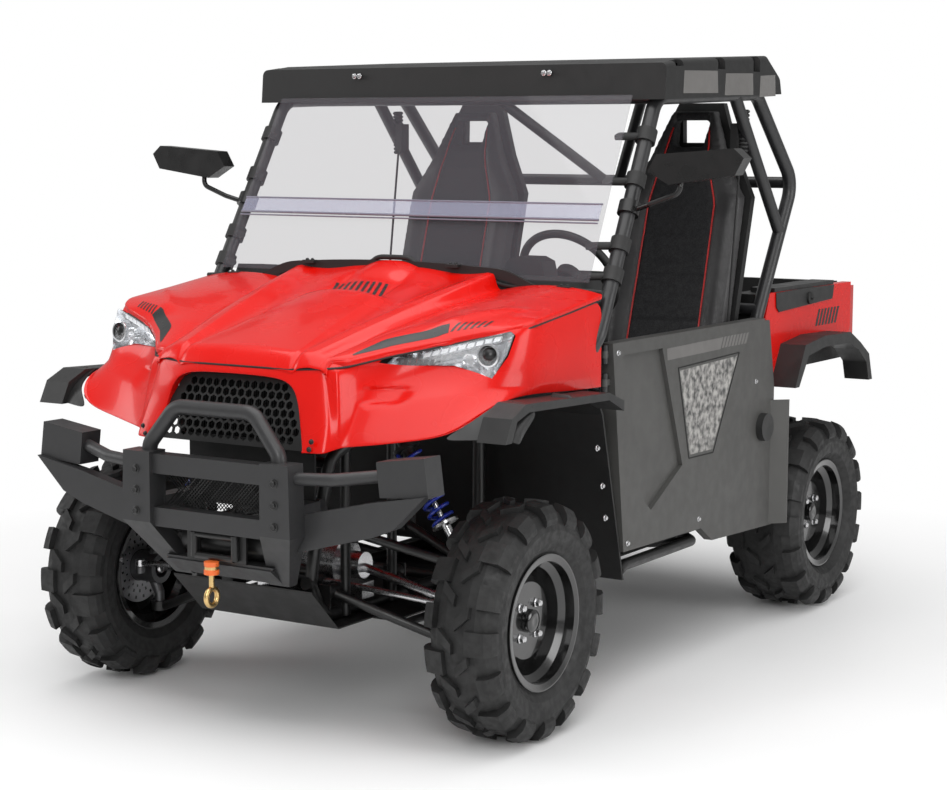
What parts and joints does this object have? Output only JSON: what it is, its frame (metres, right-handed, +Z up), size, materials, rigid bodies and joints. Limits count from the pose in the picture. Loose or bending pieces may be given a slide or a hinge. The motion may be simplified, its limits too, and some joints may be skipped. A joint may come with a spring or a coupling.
{
  "type": "side by side utility vehicle",
  "caption": "Two-seat off-road utility vehicle with roll cage, half doors, tilting cargo bed, tailgate, long-travel arms and lugged tyres.",
  "frame": {"origin": "middle of the whole vehicle's footprint on the floor", "axes": "+Z up, -Y is the vehicle's front, +X its left"},
  "size_m": [2.226, 3.04, 1.974],
  "materials": {
    "body_red": "gloss",
    "moulded_grey": "satin, moulded",
    "black_plastic": "satin, grained",
    "frame_black": "satin powder coat",
    "bumper_black": "textured powder coat",
    "tyre_rubber": "matt rubber",
    "rim_black": "gloss black",
    "steel": "satin",
    "cast": "cast",
    "alloy": "cast",
    "spring_blue": "gloss",
    "rubber_black": "matt",
    "screen_tint": "clear, lightly tinted",
    "lamp_clear": "clear lens over bright housing",
    "lamp_red": "gloss lens",
    "seat_cloth": "woven, with grey bolsters and red piping",
    "belt_web": "webbing",
    "mirror_black": "gloss",
    "hook_gold": "zinc yellow",
    "grip_black": "soft grip"
  },
  "bodies": {
    "chassis": {"chassis_frame": "frame_black", "front_subframe": "frame_black", "rear_subframe": "frame_black", "belly_pan": "black_plastic", "engine": "cast", "exhaust": "steel", "hitch_receiver": "frame_black", "rear_uprights": "cast", "front_arms": "frame_black", "rear_arms": "frame_black", "shocks": "spring_blue", "drive_shafts": "steel", "roll_cage": "frame_black", "roof_panel": "black_plastic", "windshield": "screen_tint", "windshield_clamps": "rubber_black", "mirrors": "mirror_black", "hood": "body_red", "front_fascia": "body_red", "grille_mesh": "black_plastic", "headlights": "lamp_clear", "front_flares": "black_plastic", "arch_liners": "black_plastic", "front_bumper": "bumper_black", "bumper_guards": "bumper_black", "winch": "frame_black", "winch_hook": "hook_gold", "cab_tub": "black_plastic", "dashboard": "black_plastic", "steering_column": "frame_black", "seat_shells": "black_plastic", "seat_cushions": "seat_cloth", "seat_backs": "seat_cloth", "seat_belts": "belt_web", "side_panels": "moulded_grey", "fuel_cap": "black_plastic"},
    "knuckle_left": {"knuckle_left": "cast"},
    "knuckle_right": {"knuckle_right": "cast"},
    "wheel_front_left": {"rim_front_left": "rim_black", "tyre_front_left": "tyre_rubber"},
    "wheel_front_right": {"rim_front_right": "rim_black", "tyre_front_right": "tyre_rubber"},
    "wheel_rear_left": {"rim_rear_left": "rim_black", "tyre_rear_left": "tyre_rubber"},
    "wheel_rear_right": {"rim_rear_right": "rim_black", "tyre_rear_right": "tyre_rubber"},
    "rack": {"steering_rack": "alloy"},
    "handwheel": {"steering_wheel": "grip_black"},
    "door_left": {"door_left": "moulded_grey"},
    "door_right": {"door_right": "moulded_grey"},
    "bed": {"cargo_bed": "black_plastic", "rear_panels": "body_red", "rear_flares": "black_plastic", "tail_lamps": "lamp_red"},
    "lid_left": {"lid_left": "black_plastic"},
    "lid_right": {"lid_right": "black_plastic"},
    "tailgate": {"tailgate": "black_plastic"}
  },
  "joints": [
    {"name": "steer_left", "type": "hinge", "parent": "chassis", "child": "knuckle_left", "pos_m": [0.61, -1, 0.343], "axis": [0, 0, 1], "range_deg": [-30, 30]},
    {"name": "steer_right", "type": "hinge", "parent": "chassis", "child": "knuckle_right", "pos_m": [-0.61, -1, 0.343], "axis": [0, 0, 1], "range_deg": [-30, 30]},
    {"name": "rack_slide", "type": "slide", "parent": "chassis", "child": "rack", "axis": [1, 0, 0], "range_m": [-0.048, 0.048]},
    {"name": "handwheel_turn", "type": "hinge", "parent": "chassis", "child": "handwheel", "pos_m": [0.415, -0.195, 1.262], "axis": [0, 0.848, 0.5299], "range_deg": [-270, 270]},
    {"name": "spin_front_left", "type": "hinge", "parent": "knuckle_left", "child": "wheel_front_left", "pos_m": [0.705, -1, 0.343], "axis": [1, 0, 0], "continuous": true},
    {"name": "spin_front_right", "type": "hinge", "parent": "knuckle_right", "child": "wheel_front_right", "pos_m": [-0.705, -1, 0.343], "axis": [1, 0, 0], "continuous": true},
    {"name": "spin_rear_left", "type": "hinge", "parent": "chassis", "child": "wheel_rear_left", "pos_m": [0.6645, 1.08, 0.343], "axis": [1, 0, 0], "continuous": true},
    {"name": "spin_rear_right", "type": "hinge", "parent": "chassis", "child": "wheel_rear_right", "pos_m": [-0.6645, 1.08, 0.343], "axis": [1, 0, 0], "continuous": true},
    {"name": "door_left_hinge", "type": "hinge", "parent": "chassis", "child": "door_left", "pos_m": [0.728, -0.535, 1], "axis": [0, 0, -1], "range_deg": [0, 70]},
    {"name": "door_right_hinge", "type": "hinge", "parent": "chassis", "child": "door_right", "pos_m": [-0.728, -0.535, 1], "axis": [0, 0, 1], "range_deg": [0, 70]},
    {"name": "bed_tilt", "type": "hinge", "parent": "chassis", "child": "bed", "pos_m": [0, 1.29, 0.69], "axis": [-1, 0, 0], "range_deg": [0, 40]},
    {"name": "lid_left_hinge", "type": "hinge", "parent": "bed", "child": "lid_left", "pos_m": [0.6, 1, 1.173], "axis": [0, -1, 0], "range_deg": [0, 75]},
    {"name": "lid_right_hinge", "type": "hinge", "parent": "bed", "child": "lid_right", "pos_m": [-0.6, 1, 1.173], "axis": [0, 1, 0], "range_deg": [0, 75]},
    {"name": "tailgate_hinge", "type": "hinge", "parent": "bed", "child": "tailgate", "pos_m": [0, 1.498, 0.893], "axis": [-1, 0, 0], "range_deg": [0, 90]}
  ],
  "couplings": [
    {"joint": "steer_right", "follows": "steer_left", "ratio": 1},
    {"joint": "rack_slide", "follows": "steer_left", "m_per_rad": 0.09},
    {"joint": "handwheel_turn", "follows": "steer_left", "ratio": 9}
  ]
}
